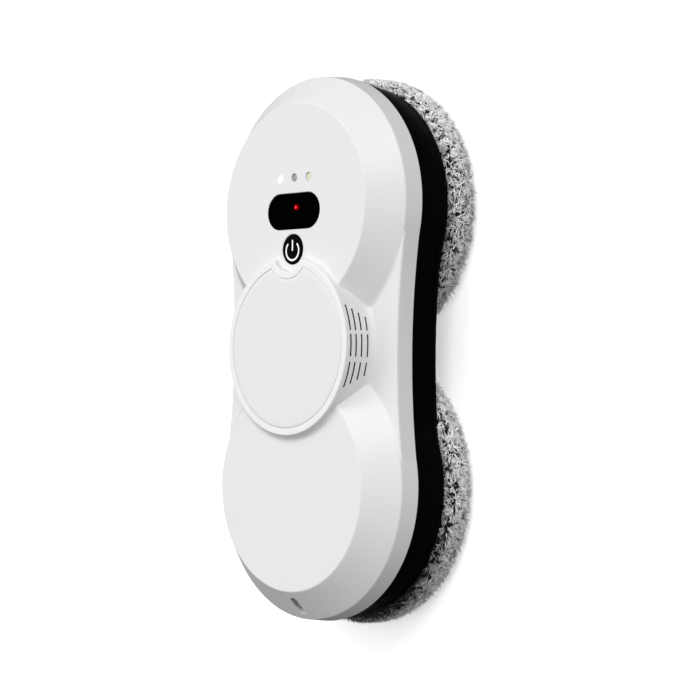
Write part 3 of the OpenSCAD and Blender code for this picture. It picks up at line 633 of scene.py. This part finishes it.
def make_cover():
    start, way = rays(200, 150)
    n = len(start)
    bottom = SPLIT_Z + 0.4

    def at_height(field, z, lo=10.0, hi=100.0):
        def f(t):
            p = np.stack([start[:, 0] + way[:, 0] * t, start[:, 1] + way[:, 1] * t, np.full(n, z)], -1)
            return field(p)
        return solve(f, np.full(n, lo), np.full(n, hi))

    body = lambda p: cover_field(p, sunk=True)
    flat = lambda p: cover_field(p, top=False, sunk=True)
    inner = lambda p: cover_field(p) + 2.4
    z0 = 8.0
    rb = at_height(cover_field, bottom)
    re = at_height(flat, FACE_Z, 5.0)
    lo = np.arctan2(bottom - z0, rb)
    hi = np.arctan2(FACE_Z - z0, np.maximum(re - 3.0, 4.0))
    outer = skin(body, start, way, z0, lo, hi, 50)
    ri = at_height(inner, SPLIT_Z + 0.01)
    rt = at_height(lambda p: flat(p) + 2.4, FACE_Z - 2.4, 3.0)
    inside = skin(inner, start, way, z0, np.arctan2(SPLIT_Z - z0, ri), np.arctan2(FACE_Z - 2.4 - z0, np.maximum(rt - 2.0, 3.0)), 14,
                  fine=160, per_mm=5.0, per_deg=12.0)

    def ring(r, z):
        return np.stack([start[:, 0] + way[:, 0] * r, start[:, 1] + way[:, 1] * r, np.full(n, z)], -1)

    rows = [inside[:, j] for j in range(13, -1, -1)]
    rows[-1] = ring(ri, SPLIT_Z)
    rows += [ring(rb - 0.4, SPLIT_Z)]
    rows += [ring(rb - 0.4 * (1 - math.sin(a)), bottom - 0.4 * math.cos(a)) for a in (math.pi / 6, math.pi / 3)]
    rows += [outer[:, j] for j in range(50)]
    verts = np.concatenate(rows)
    faces = grid_faces(len(rows), n)
    faces.append(tuple(reversed(range(n))))
    k = (len(rows) - 1) * n
    faces.append(tuple(range(k, k + n)))
    me = mesh_from("top_cover_skin", verts, faces)
    fix_normals(me)
    me = boolean(me, boss_mesh(), "UNION")
    me = boolean(me, boss_cavity())

    cutters = vent_cutters()
    cutters.append(revolve([(0, 60), (34.5, 60), (34.5, 70.5), (0, 70.5)], 96))
    for x, r in ((-11.4, 2.25), (0.1, 2.25), (11.6, 2.25)):
        cutters.append(revolve([(0, 60), (r, 60), (r, 65.8), (r + 0.2, 66.0), (r + 0.7, 66.5), (0, 66.5)], 32, (x, LIGHT_Y)))
    r = 8.25
    cutters.append(revolve([(0, 60), (r, 60), (r, 65.75), (r + 0.25, 66.0), (r + 0.75, 66.5), (0, 66.5)], 64, (0, BUTTON_Y)))
    pill = prism([(stadium(11.2, 9.8), 60), (stadium(11.2, 9.8), 65.75), (stadium(11.2, 10.05), 66.0), (stadium(11.2, 10.55), 66.5)])
    cutters.append(placed(pill, Matrix.Translation((0, WINDOW_Y, 0))))
    slot = prism([(stadium(2.3, 2.3, 12), -5), (stadium(2.3, 2.3, 12), -0.12), (stadium(2.3, 2.42, 12), 0.0),
                  (stadium(2.3, 3.4, 12), 1.0)])
    cutters.append(placed(slot, CHAMFER_END @ Matrix.Translation((0, 0.9, 0)) @ Matrix.Rotation(math.pi / 2, 4, "Z")))
    # The slot's lower end runs out in a shallow scoop
    scoop = prism([(stadium(2.0, 2.2, 12), 0), (stadium(2.0, 2.9, 12), 4)])
    tilt = Matrix.Translation((0, -4.9, -0.75)) @ Matrix.Rotation(math.radians(-20), 4, "X") @ Matrix.Rotation(math.pi / 2, 4, "Z")
    scoop = placed(scoop, CHAMFER_END @ tilt)
    hole = revolve([(0, -8), (4.08, -8), (4.08, -1.5), (7.3, -1.5), (7.3, -0.3), (7.6, 0), (9.6, 2), (0, 2)], 48)
    cutters.append(placed(hole, CHAMFER_SIDE))
    me = boolean(me, joined(cutters))
    me = boolean(me, scoop)
    me = boolean(me, cap_recess())
    # Screw posts under the ceiling
    posts = []
    for x, y in ((54, 103), (-54, 103), (54, -103), (-54, -103), (55, 20), (-55, 20), (55, -20), (-55, -20)):
        h = 57 if abs(y) > 50 else 48.4
        posts.append(revolve([(1.55, 42.8), (4, 42.8), (4, h), (0, h), (0, 49), (1.55, 48)], 24, (x, y)))
    for x, y in ((30, 49.5), (-30, 49.5), (30, 93), (-30, 93)):
        posts.append(revolve([(1.15, 60.2), (3, 60.2), (3, 63.6), (0, 63.6), (0, 63.4), (1.15, 63.2)], 20, (x, y)))
    pm = mesh_from("posts", *joined(posts))
    fix_normals(pm)
    bm = bmesh.new()
    bm.from_mesh(me)
    bm.from_mesh(pm)
    bm.to_mesh(me)
    bm.free()
    deep = set_field_normals(me, [(cover_field, 1), (boss_field, 1), (inner, -1)])
    # Paints shade into the inside of the vents and a highlight on the rim of the boss, as attributes for the material
    co = np.zeros(len(me.vertices) * 3, np.float32)
    me.vertices.foreach_get("co", co)
    co = co.reshape(-1, 3).astype(float) / MM
    vi = np.zeros(len(me.loops), np.int32)
    me.loops.foreach_get("vertex_index", vi)
    r = np.hypot(co[vi, 0], co[vi, 1])
    z = co[vi, 2]
    rows = np.array([FACE_Z + 0.7 - 3.4 * i - 0.14 * i * i for i in range(4)])
    near = np.abs(z[:, None] - rows[None]).min(1) < 0.66
    swing = np.degrees(np.arctan2(np.abs(co[vi, 1]), np.abs(co[vi, 0])))
    dark = np.where(deep & near & (swing < 27.6) & (r < 48.9), np.clip((48.6 - r) / 0.2, 0, 1), 0.0)
    # The walls of the nozzle slot stand in shade too
    local = np.column_stack([co, np.ones(len(co))]) @ np.array(CHAMFER_END.inverted()).T
    local = local[vi]
    slot_wall = deep & (np.abs(local[:, 0]) < 2.45) & (local[:, 1] > -3.75) & (local[:, 1] < 5.8) & (local[:, 2] < -0.05) & (local[:, 2] > -4)
    dark = np.where(slot_wall, 0.55, dark)
    me.attributes.new("recess_painted_shade", "FLOAT", "CORNER").data.foreach_set("value", dark.astype(np.float32))
    # Painted highlight on the top of the rim, above z 69 mm
    rim = np.clip((z - 69.0) / 0.5, 0, 1)
    me.attributes.new("rim_painted_highlight", "FLOAT", "CORNER").data.foreach_set("value", rim.astype(np.float32))
    o = add_object("cover_shell", me, M["cover"], "casing")
    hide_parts("top_cover")
    return o


make_cover()


# ---------------------------------------------------------------- centre cap

def make_cap():
    z0, z1 = BOSS_Z - 1.2, BOSS_Z
    rows = []
    for inset, z in ((6.0, z0), (4.0, z0), (3.86, z0 + 0.14), (3.86, z1 - 0.42), (4.0, z1 - 0.4), (4.06, z1 - 0.16), (4.14, z1 - 0.05), (4.3, z1), (7.0, z1)):
        p, _ = boss_outline(inset, BOSS_Z, 620, 0.3)
        rows.append(np.column_stack([p, np.full(len(p), z)]))
    n = len(rows[0])
    faces = grid_faces(len(rows), n)
    faces.append(tuple(reversed(range(n))))
    k = (len(rows) - 1) * n
    faces.append(tuple(range(k, k + n)))
    collar = revolve([(32.8, 66.5), (33.0, 66.3), (34.0, 66.3), (34.3, 66.7), (34.3, 68.9), (32.8, 68.9)], 96)
    verts, faces = joined([(np.concatenate(rows).tolist(), faces), collar])
    me = mesh_from("cap_skin", verts, faces)
    fix_normals(me)
    smooth_by_angle(me, 40)
    o = add_object("cap_disc", me, M["cap"], "casing")
    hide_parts("centre_cap")
    return o


make_cap()


# ---------------------------------------------------------------- window, lights and button

def solid(name, shape, material, body, node, angle=35):
    me = mesh_from(name + "_mesh", *shape)
    fix_normals(me)
    smooth_by_angle(me, angle)
    o = add_object(name, me, M[material], body)
    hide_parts(node)
    return o


def make_window():
    levels = [(10.6, 62.2), (10.6, 63.5), (9.7, 63.5), (9.7, 65.68)]
    levels += [(9.7 - 0.3 * (1 - math.cos(a)), 65.68 + 0.3 * math.sin(a)) for a in np.radians([25, 50, 70, 90])]
    shape = prism([(stadium(11.2, r, 40), z) for r, z in levels])
    solid("window_pane", placed(shape, Matrix.Translation((0, WINDOW_Y, 0))), "glass", "casing", "sensor_window")


def make_lenses():
    for name, x in (("left", -11.4), ("mid", 0.1), ("right", 11.6)):
        low = 0.0 if name == "left" else 0.35
        prof = [(0, 61.4), (2.2, 61.4), (2.2, 65.35 - low), (2.1, 65.5 - low)]
        prof += [(2.1 * math.cos(a), 65.5 - low + 0.28 * math.sin(a)) for a in np.radians([20, 40, 60, 78])]
        prof += [(0, 65.78 - low)]
        shape = revolve(prof, 40, (x, LIGHT_Y))
        solid("light_" + name, shape, {"left": "lens_white", "mid": "lens_grey", "right": "lens_green"}[name], "casing",
              "status_lens_" + name)


def symbol_outlines(grow):
    """Outlines of the open ring and of the bar, with round ends."""
    ro, ri, half_gap = 5.6 + grow, 4.6 - grow, math.radians(47.5)
    mid, rad = 5.1, 0.5 + grow
    a0, a1 = math.pi / 2 + half_gap, math.pi / 2 - half_gap + 2 * math.pi
    pts = [(ro * math.cos(a), ro * math.sin(a) - 0.73) for a in np.linspace(a0, a1, 60)]
    c = (mid * math.cos(a1), mid * math.sin(a1) - 0.73)
    pts += [(c[0] + rad * math.cos(a), c[1] + rad * math.sin(a)) for a in np.linspace(a1, a1 + math.pi, 12)[1:-1]]
    pts += [(ri * math.cos(a), ri * math.sin(a) - 0.73) for a in np.linspace(a1, a0, 60)]
    c = (mid * math.cos(a0), mid * math.sin(a0) - 0.73)
    pts += [(c[0] + rad * math.cos(a), c[1] + rad * math.sin(a)) for a in np.linspace(a0 + math.pi, a0 + 2 * math.pi, 12)[1:-1]]
    bar = [(rad * math.cos(a), 4.6 + rad * math.sin(a)) for a in np.linspace(0, math.pi, 12)]
    bar += [(rad * math.cos(a), -0.4 + rad * math.sin(a)) for a in np.linspace(math.pi, 2 * math.pi, 12)]
    return [[(x, y + BUTTON_Y) for x, y in o] for o in (pts, bar)]


def make_button():
    prof = [(0, 62.3), (9.6, 62.3), (9.6, 63.3), (8.0, 63.3), (8.0, 65.9)]
    prof += [(7.6 + 0.4 * math.cos(a), 65.9 + 0.4 * math.sin(a)) for a in np.radians([15, 30, 45, 60, 75, 90])]
    prof += [(0, 66.3)]
    me = mesh_from("button_mesh", *revolve(prof, 96, (0, BUTTON_Y)))
    fix_normals(me)
    me = boolean(me, joined([prism([(o, 65.6), (o, 67)]) for o in symbol_outlines(0.03)]))
    smooth_by_angle(me, 30)
    o = add_object("button_disc", me, M["button"], "button")
    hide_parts("power_button")
    shape = joined([prism([(o, 65.62), (o, 66.27)]) for o in symbol_outlines(0.0)])
    solid("button_symbol", shape, "symbol", "button", "power_symbol")


make_window()
make_lenses()
make_button()


# ---------------------------------------------------------------- plush pads

PILE_TOP = 17.8


def pile_material(name, root, tip, sheen):
    m, nt, p = new_material(name)
    along = nt.nodes.new("ShaderNodeAttribute")
    along.attribute_name = "pile_along"
    # This attribute holds each tuft's tint times the painted shadow of the shell
    tint = nt.nodes.new("ShaderNodeAttribute")
    tint.attribute_name = "pile_tint_and_shadow"
    # Painted shade deep in the pile: each tuft is near black at its root and light towards its tip
    shade = ramp(nt, along.outputs["Fac"], root, tip, 0.1, 0.6)
    tints = ramp(nt, tint.outputs["Fac"], 0.0, 1.0, 0.0, 1.0)
    mix = nt.nodes.new("ShaderNodeMix")
    mix.data_type, mix.blend_type = "RGBA", "MULTIPLY"
    mix.inputs[0].default_value = 1.0
    nt.links.new(shade, mix.inputs[6])
    nt.links.new(tints, mix.inputs[7])
    nt.links.new(mix.outputs[2], p.inputs["Base Color"])
    nt.links.new(ramp(nt, tint.outputs["Fac"], 0.75, 0.95, 0, 1), p.inputs["Roughness"])
    p.inputs["Sheen Weight"].default_value = sheen
    p.inputs["Sheen Roughness"].default_value = 0.5
    p.inputs["Specular IOR Level"].default_value = 0.2
    return m


# Root colour near black as painted shade between the tufts, tip colour near white
M["pile"] = pile_material("pad_pile", (0.012, 0.012, 0.012), (0.96, 0.96, 0.965), 0.15)
# The woven body is near black, so it shows as painted shade between the tufts
M["backing"] = surface("pad_backing", (0.015, 0.015, 0.0155), 0.95, 0.04, 0.4, 4, 0.6, 1.0, 0.4, spec=0.1)


def pile_profile():
    """Profile of the woven body of a pad under its pile, from the inner rim below round the edge to above the disc."""
    pts = [(32.6, 9.0), (32.6, 3.4), (33.6, 2.2), (66.5, 2.2)]
    pts += [(66.5 + 5.8 * math.sin(a), 8.0 - 5.8 * math.cos(a)) for a in np.radians(np.linspace(12, 90, 7))]
    pts += [(72.3, 11.2)]
    pts += [(68.6 + 3.7 * math.cos(a), 11.8 + 3.7 * math.sin(a)) for a in np.radians(np.linspace(8, 90, 6))]
    pts += [(61.0, 15.4)]
    return pts


def make_pad(name, sign, body, node, seed):
    prof = pile_profile()
    full = prof + [(61.0, 13.3), (66.9, 13.3), (66.9, 9.2), (32.6, 9.2)]
    verts, faces = revolve(full, 160, (0, sign * HALF))
    me = mesh_from(name + "_body_mesh", verts, faces)
    fix_normals(me)
    smooth_by_angle(me, 50)
    o = add_object(name + "_body", me, M["backing"], body)
    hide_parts(node)
    rng = np.random.default_rng(seed)
    pts = np.array(prof, float)
    seg = np.diff(pts, axis=0)
    length = np.hypot(seg[:, 0], seg[:, 1])
    s = np.concatenate([[0], np.cumsum(length)])
    total = s[-1]
    edge = s[3] - 4.0

    def pile(piece, lo, hi, count, reach, width, curl, limit):
        # Roots spread over the area between lo and hi along the profile
        u = rng.uniform(lo, hi, count * 3)
        r = np.interp(u, s, pts[:, 0])
        keep = rng.uniform(0, 1, len(u)) < r / 74.0
        u, r = u[keep][:count], r[keep][:count]
        k = len(u)
        z = np.interp(u, s, pts[:, 1])
        # Profile normals, smoothed over the corners
        mid = (s[:-1] + s[1:]) / 2
        nr, nz = np.interp(u, mid, seg[:, 1] / length), np.interp(u, mid, -seg[:, 0] / length)
        a = rng.uniform(0, 2 * math.pi, k)
        er = np.stack([np.cos(a), np.sin(a), 0 * a], -1)
        et = np.stack([-np.sin(a), np.cos(a), 0 * a], -1)
        nrm = er * nr[:, None] + np.array([0, 0, 1.0]) * nz[:, None]
        nrm /= np.linalg.norm(nrm, axis=1, keepdims=True)
        tan = np.cross(nrm, et)
        root = er * r[:, None] + np.array([0, 0, 1.0]) * z[:, None] - nrm * 0.6
        # Tufts lean in locks of a few millimetres, and each curls its own way
        cell = 2.0
        ca, cs = np.floor(a * 73 / cell + rng.uniform(-0.2, 0.2, k)), np.floor(u / cell + rng.uniform(-0.2, 0.2, k))
        h = np.modf(np.abs(np.sin(ca * 12.9898 + cs * 78.233 + seed) * 43758.5453))[0] * 2 * math.pi
        strength = np.modf(np.abs(np.sin(ca * 39.346 + cs * 11.135 + seed) * 24634.6345))[0]
        lock = (et * np.cos(h)[:, None] + tan * np.sin(h)[:, None]) * (0.45 + 0.9 * strength)[:, None]
        lean = lock * curl + 0.42 * (et * rng.normal(0, 1, (k, 1)) + tan * rng.normal(0, 1, (k, 1)))
        d0 = nrm + 0.55 * lean
        d0 /= np.linalg.norm(d0, axis=1, keepdims=True)
        d1 = nrm * 0.5 + lean * 1.3
        d1 /= np.linalg.norm(d1, axis=1, keepdims=True)
        size = reach * rng.uniform(0.75, 1.15, k)[:, None]

        def held(p):
            rr = np.hypot(p[:, 0], p[:, 1])
            first = 73.4
            # The lower pad is a little longer at its outer end
            most = limit + 1.6 * np.clip(-np.sin(a), 0, 1) ** 2 * (sign < 0)
            soft = np.where(rr > first, first + (most - first) * (1 - np.exp(-(rr - first) / (most - first))), rr)
            p = p.copy()
            p[:, :2] *= (soft / rr)[:, None]
            # Under the shell the pile is pressed down, outside it the tufts stand up
            p[:, 2] = np.clip(p[:, 2], 0.3, 17.7 + 2.1 * step(69.8, 71.4, rr))
            return p
        p1 = held(root + d0 * size * 0.55)
        p2 = held(p1 + d1 * size * 0.3)
        p3 = held(p2 + (d1 + 0.35 * rng.normal(0, 1, (k, 3))) * size * 0.3)
        w = width * rng.uniform(0.7, 1.25, k)[:, None]
        side = np.cross(d0, rng.normal(0, 1, (k, 3)))
        side /= np.linalg.norm(side, axis=1, keepdims=True)
        other = np.cross(d0, side)
        ring = [side * math.cos(2 * math.pi * q / 3) + other * math.sin(2 * math.pi * q / 3) for q in range(3)]
        v = [root + x * w * 0.8 for x in ring] + [p1 + x * w for x in ring] + [p2 + x * w * 0.72 for x in ring] + [p3]
        v = np.stack(v, 1)
        v[:, :, 2] = np.maximum(v[:, :, 2], 0.03)
        v += np.array([0, sign * HALF, 0])
        n = 10
        base = np.arange(k)[:, None] * n
        quads = np.concatenate([base + np.array([[l + q, l + (q + 1) % 3, l + 3 + (q + 1) % 3, l + 3 + q]]) for l in (0, 3) for q in range(3)],
                               1).reshape(-1, 4)
        tris = np.concatenate([base + np.array([[6 + q, 6 + (q + 1) % 3, 9]]) for q in range(3)] + [base + np.array([[2, 1, 0]])],
                              1).reshape(-1, 3)
        me = bpy.data.meshes.new(piece + "_mesh")
        me.vertices.add(k * n)
        me.vertices.foreach_set("co", (v.reshape(-1) * MM).astype(np.float32))
        loops = np.concatenate([quads.ravel(), tris.ravel()]).astype(np.int32)
        me.loops.add(len(loops))
        me.loops.foreach_set("vertex_index", loops)
        nq, nt_ = len(quads), len(tris)
        me.polygons.add(nq + nt_)
        me.polygons.foreach_set("loop_start", np.concatenate([np.arange(nq) * 4, nq * 4 + np.arange(nt_) * 3]).astype(np.int32))
        me.update(calc_edges=True)
        me.validate()
        along = np.tile(np.array([0.0] * 3 + [0.5] * 3 + [0.8] * 3 + [1.0]), k).astype(np.float32)
        # Tufts differ in tint, and carry a painted shadow of the shell, most of all at the sides and the lower end
        tint = rng.uniform(0.55, 1.0, k)
        side_on = 1 - np.clip((np.sin(a) - 0.2) / 0.35, 0, 1)
        shadow_width = 8.0 + 4.5 * np.clip(-np.sin(a), 0, 1)
        depth = u - (total - shadow_width) + rng.normal(0, 0.9, k)
        shell_shadow = np.clip((depth + 2.4) / 4.8, 0, 1) * side_on
        shade = np.repeat(tint * (1 - 0.97 * shell_shadow), n).astype(np.float32)
        me.attributes.new("pile_along", "FLOAT", "POINT").data.foreach_set("value", along)
        me.attributes.new("pile_tint_and_shadow", "FLOAT", "POINT").data.foreach_set("value", shade)
        # The bake's map: each tuft takes a place by its tint and painted shadow across and its length up
        uv = me.uv_layers.new(name="OFBake")
        li = np.zeros(len(me.loops), np.int32)
        me.loops.foreach_get("vertex_index", li)
        corner = np.tile(np.array([0.0, 0.5, 1.0] * 3 + [0.5]), k)[li] * 0.02
        uv.data.foreach_set("uv", np.stack([0.01 + shade[li] * 0.96 + corner, 0.02 + along[li] * 0.96], -1).astype(np.float32).ravel())
        me.polygons.foreach_set("use_smooth", [True] * len(me.polygons))
        # Light falls on the tufts mostly as on the pile's surface, and partly round each tuft
        soft = np.stack([x * 0.55 + nrm * 0.75 for x in ring] * 3 + [nrm], 1).reshape(-1, 3)
        soft /= np.linalg.norm(soft, axis=1, keepdims=True)
        me.normals_split_custom_set_from_vertices(soft.tolist())
        o = add_object(piece, me, M["pile"], body)
        return o

    top = total - 2.0
    pile(name + "_pile_a", edge, top, 6800, 4.8, 0.38, 1.2, 75.3)
    pile(name + "_pile_b", edge, top, 3600, 5.2, 0.32, 0.9, 75.6)
    pile(name + "_pile_fine", edge + 3, top, 7000, 5.8, 0.13, 1.0, 76.3)
    pile(name + "_pile_under", 2.0, edge, 12400, 3.0, 0.5, 1.0, 75.0)


make_pad("pad_upper", 1, "upper_disc", "pad_upper", 11)
make_pad("pad_lower", -1, "lower_disc", "pad_lower", 23)


# ---------------------------------------------------------------- stage and light

def make_floor():
    verts = [(-3000, -3000, 0), (3000, -3000, 0), (3000, 3000, 0), (-3000, 3000, 0)]
    me = mesh_from("floor_mesh", verts, [(0, 1, 2, 3)])
    o = bpy.data.objects.new("floor", me)
    bpy.context.scene.collection.objects.link(o)
    me.materials.append(surface("floor_pale", (0.93, 0.93, 0.93), 0.8, 0.05, 0.004, 60, 2.0, 0.02, 0.02, spec=0.2))
    p = me.materials[0].node_tree.nodes["Principled BSDF"]
    p.inputs["Emission Color"].default_value = (1, 1, 1, 1)
    p.inputs["Emission Strength"].default_value = 0.45
    # The floor shows white but throws no light back at the robot, which stands dark at its lower end
    o.visible_diffuse = o.visible_glossy = False


make_floor()


def sun(name, direction, strength):
    """A large soft light far away, shining from the direction."""
    d = bpy.data.lights.new(name, "SUN")
    d.energy, d.angle = strength, math.radians(25)
    o = bpy.data.objects.new(name, d)
    bpy.context.scene.collection.objects.link(o)
    o.rotation_mode = "QUATERNION"
    o.rotation_quaternion = Vector(direction).to_track_quat("Z", "Y")


sun("soft_back", (0, 0.75, 0.66), 0.35)
sun("soft_left", (-0.35, 0.65, 0.7), 0.42)
sun("soft_key", (0.4, 0.6, 0.7), 1.08)
sun("soft_top", (0, 0.1, 1), 0.27)
sun("soft_right", (0.85, 0.1, 0.5), 0.27)

# The plush also catches light scattered from the pale background
plush = bpy.data.collections.new("plush")
for o in list(bpy.context.scene.objects):
    if "_pile_" in o.name:
        plush.objects.link(o)
for name, direction, strength in (("plush_fill", (0.3, 0.88, 0.35), 1.45), ("plush_side", (0.9, -0.1, 0.4), 0.22)):
    sun(name, direction, strength)
    bpy.data.objects[name].light_linking.receiver_collection = plush

# A dim room with broad bright panels: direction, strength, sharpness
world = bpy.data.worlds.new("studio")
bpy.context.scene.world = world
world.use_nodes = True
wt = world.node_tree
background = wt.nodes["Background"]
background.inputs[0].default_value = (1, 1, 1, 1)
way_out = wt.nodes.new("ShaderNodeTexCoord").outputs["Generated"]
total = None
for direction, strength, power in (((0, 0, 1), 0.30, 2), ((1, 0, 0), 0.80, 2), ((-1, 0, 0), 0.28, 2),
                                   ((-0.6, 0.3, 0.7), 1.35, 6)):
    facing = wt.nodes.new("ShaderNodeVectorMath")
    facing.operation = "DOT_PRODUCT"
    facing.inputs[1].default_value = Vector(direction).normalized()
    wt.links.new(way_out, facing.inputs[0])
    link = facing.outputs["Value"]
    for operation, value in (("MAXIMUM", 0.0), ("POWER", power), ("MULTIPLY", strength)):
        node = wt.nodes.new("ShaderNodeMath")
        node.operation = operation
        node.inputs[1].default_value = value
        wt.links.new(link, node.inputs[0])
        link = node.outputs[0]
    node = wt.nodes.new("ShaderNodeMath")
    node.operation = "ADD"
    node.inputs[1].default_value = 0.01
    if total:
        wt.links.new(total, node.inputs[1])
    wt.links.new(link, node.inputs[0])
    total = node.outputs[0]
wt.links.new(total, background.inputs[1])
bpy.context.scene.view_settings.view_transform = "Standard"
bpy.context.scene.view_settings.look = "None"
